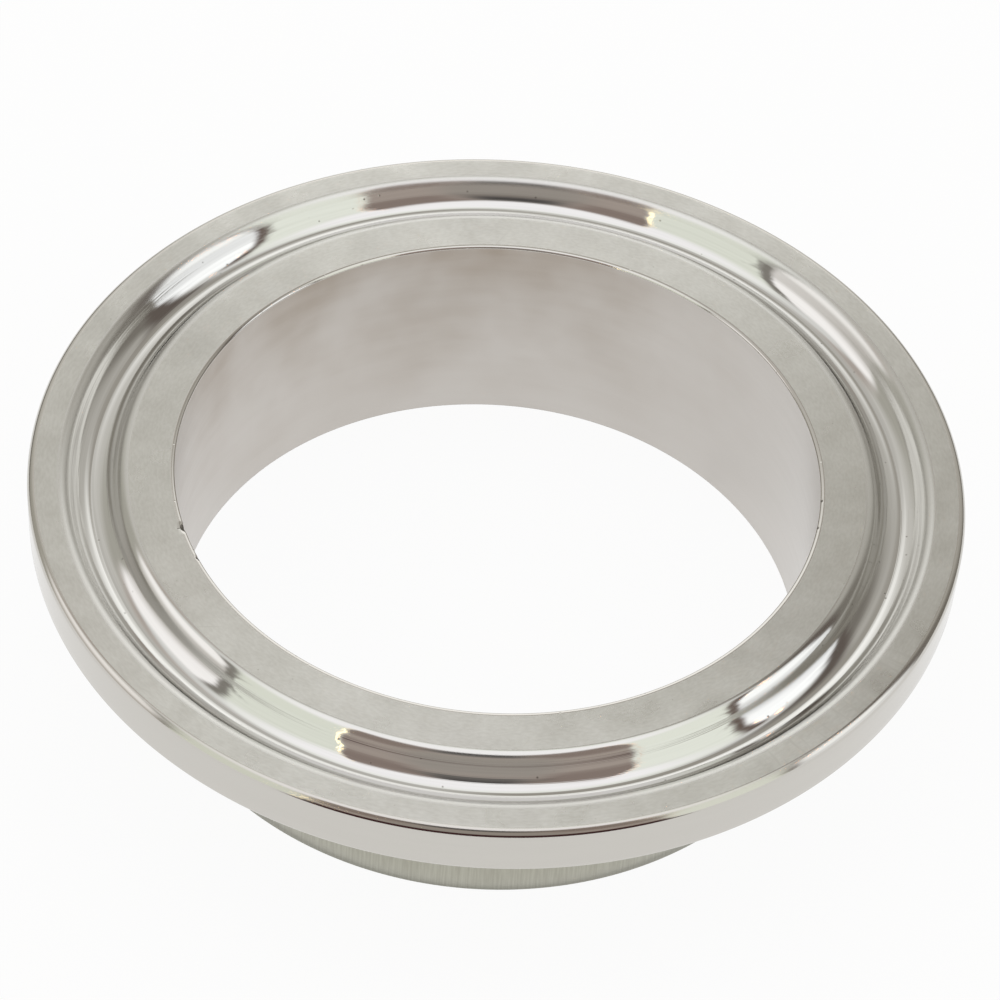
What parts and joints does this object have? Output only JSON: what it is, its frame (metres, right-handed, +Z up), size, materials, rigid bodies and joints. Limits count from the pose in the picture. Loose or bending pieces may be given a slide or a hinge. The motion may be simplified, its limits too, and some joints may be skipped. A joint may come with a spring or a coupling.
{
  "type": "sanitary clamp ferrule",
  "caption": "Round flanged ring that joins a hygienic tube to a clamp: grooved sealing face, sloped clamp shoulder and short weld stub around a plain through bore.",
  "frame": {"origin": "centre of the weld end, on the plane that it stands on", "axes": "+Z up the bore's axis, from the weld end towards the grooved sealing face; X and Y are any two directions across the ring"},
  "size_m": [0.0506, 0.0506, 0.0127],
  "materials": {
    "stainless": "turned and polished stainless steel"
  },
  "bodies": {
    "root": {"ferrule": "stainless"}
  },
  "joints": []
}
